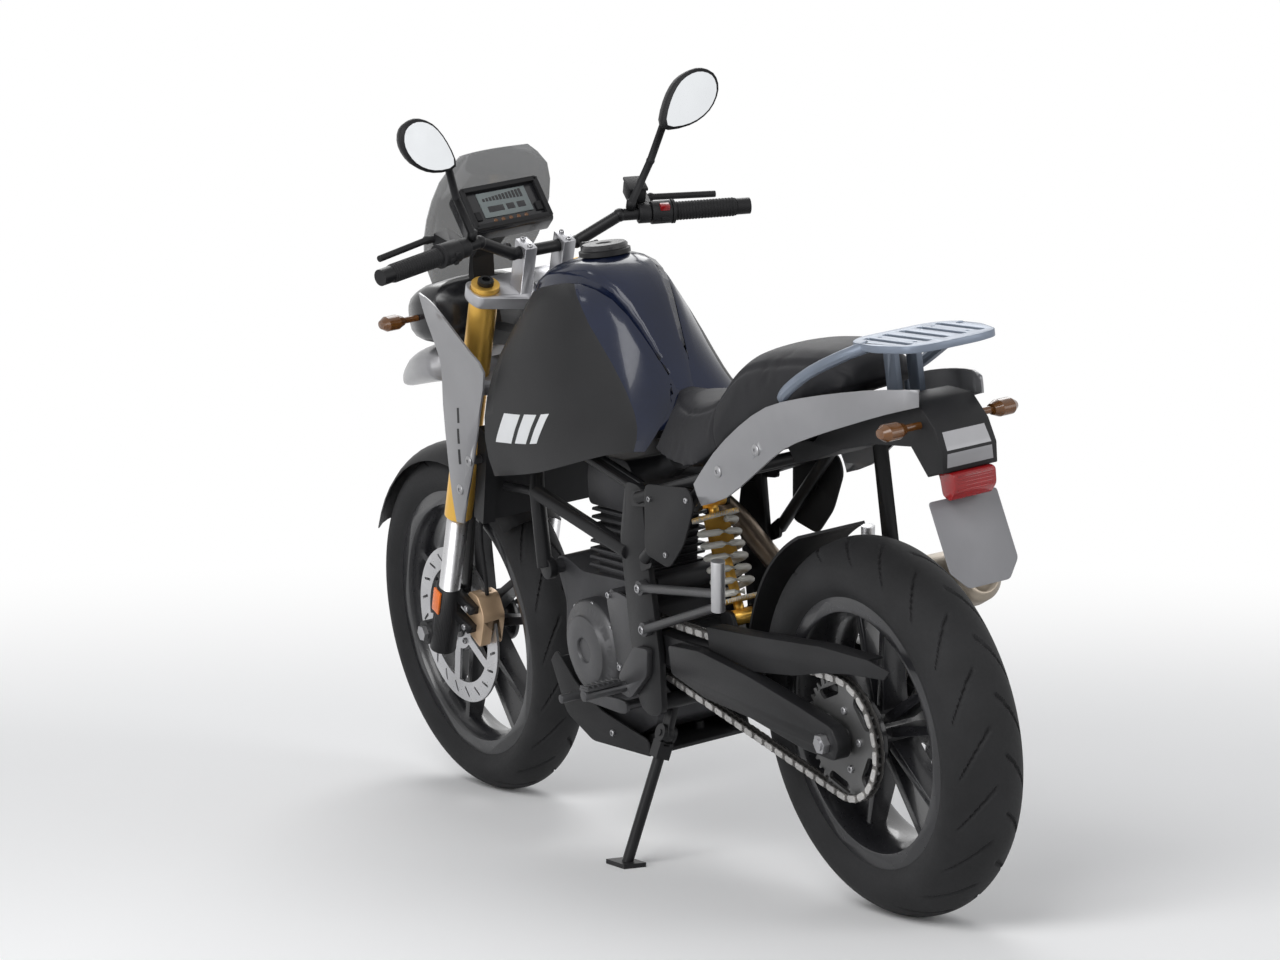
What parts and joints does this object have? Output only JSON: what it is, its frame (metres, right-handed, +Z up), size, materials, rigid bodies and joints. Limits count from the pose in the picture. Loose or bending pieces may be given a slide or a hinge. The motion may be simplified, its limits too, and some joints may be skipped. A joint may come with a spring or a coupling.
{
  "type": "adventure motorcycle",
  "caption": "Single-cylinder adventure motorcycle on cast wheels with a beak, short screen and rear rack, parked leaning on its side stand.",
  "frame": {"origin": "middle of the bounding box on the ground", "axes": "+X forward along the wheelbase, +Y to the rider's left, +Z up; the motorcycle leans about +X to its left on its stand"},
  "size_m": [2.0942, 0.7616, 1.3799],
  "materials": {
    "frame_paint": "satin black",
    "engine_grey": "satin grey",
    "black_plastic": "grained black",
    "tank_gloss": "gloss black with a blue cast",
    "panel_grey": "matt dark grey",
    "silver_panel": "silver grey paint",
    "rack_silver": "cast, blue-grey coat",
    "lamp_glass": "clear",
    "screen_smoke": "smoked",
    "dash_black": "gloss black",
    "seat_vinyl": "grained vinyl",
    "lamp_red": "clear red",
    "plate_blank": "blank",
    "amber": "amber",
    "gold": "gold anodised",
    "bronze": "bronze anodised",
    "chain_steel": "oiled",
    "disc_steel": "ground",
    "axle_steel": "zinc",
    "pipe_steel": "heat stained",
    "silencer_metal": "brushed",
    "peg_alloy": "cast",
    "clamp_alloy": "cast silver",
    "rim_black": "gloss black",
    "tyre": "worn matt",
    "rubber": "matt",
    "mirror": "silvered"
  },
  "bodies": {
    "chassis": {"main_frame": "frame_paint", "rear_subframe": "frame_paint", "engine": "engine_grey", "skid_plate": "black_plastic", "radiator": "frame_paint", "fuel_tank": "tank_gloss", "filler_ring": "frame_paint", "tank_panels": "panel_grey", "nose_panels": "silver_panel", "nose_bracket": "frame_paint", "beak": "silver_panel", "headlamp": "dash_black", "headlamp_lens": "lamp_glass", "windscreen": "screen_smoke", "instrument_panel": "dash_black", "seat": "seat_vinyl", "tail_panels": "silver_panel", "luggage_rack": "rack_silver", "tail_fender": "black_plastic", "tail_lamp": "lamp_red", "number_plate": "plate_blank", "indicators": "amber", "side_covers": "black_plastic", "swingarm": "frame_paint", "rear_shock": "gold", "chain": "chain_steel", "chain_guard": "black_plastic", "splash_guard": "black_plastic", "rear_caliper": "bronze", "rear_axle": "axle_steel", "exhaust_pipe": "pipe_steel", "silencer": "silencer_metal", "footrests": "peg_alloy", "foot_levers": "peg_alloy"},
    "steering": {"fork_tubes": "gold", "fork_legs": "frame_paint", "triple_clamps": "clamp_alloy", "handlebar": "frame_paint", "grips": "rubber", "hand_controls": "black_plastic", "mirrors": "black_plastic", "mirror_glass": "mirror", "front_mudguard": "black_plastic", "front_caliper": "bronze", "front_axle": "axle_steel", "brake_hose": "rubber"},
    "front_wheel": {"front_rim": "rim_black", "front_tyre": "tyre", "front_disc": "disc_steel"},
    "rear_wheel": {"rear_rim": "rim_black", "rear_tyre": "tyre", "rear_disc": "disc_steel", "rear_sprocket": "chain_steel"},
    "stand": {"side_stand": "frame_paint"},
    "filler_lid": {"fuel_cap": "dash_black"}
  },
  "joints": [
    {"name": "steering_turn", "type": "hinge", "parent": "chassis", "child": "steering", "pos_m": [0.36232, -0.02595, 0.89423], "axis": [-0.4493, 0.1243, 0.8847], "range_deg": [-35, 35]},
    {"name": "front_wheel_spin", "type": "hinge", "parent": "steering", "child": "front_wheel", "pos_m": [0.71813, -0.10574, 0.32651], "axis": [0, 0.9903, -0.1392], "continuous": true},
    {"name": "rear_wheel_spin", "type": "hinge", "parent": "chassis", "child": "rear_wheel", "pos_m": [-0.70187, -0.10686, 0.31859], "axis": [0, 0.9903, -0.1392], "continuous": true},
    {"name": "stand_fold", "type": "hinge", "parent": "chassis", "child": "stand", "pos_m": [-0.13187, -0.00979, 0.23325], "axis": [0, 0.9677, 0.2521], "range_deg": [0, 95]},
    {"name": "filler_lid_open", "type": "hinge", "parent": "chassis", "child": "filler_lid", "pos_m": [0.12213, -0.00075, 1.07357], "axis": [0, 0.9903, -0.1392], "range_deg": [0, 100]}
  ]
}
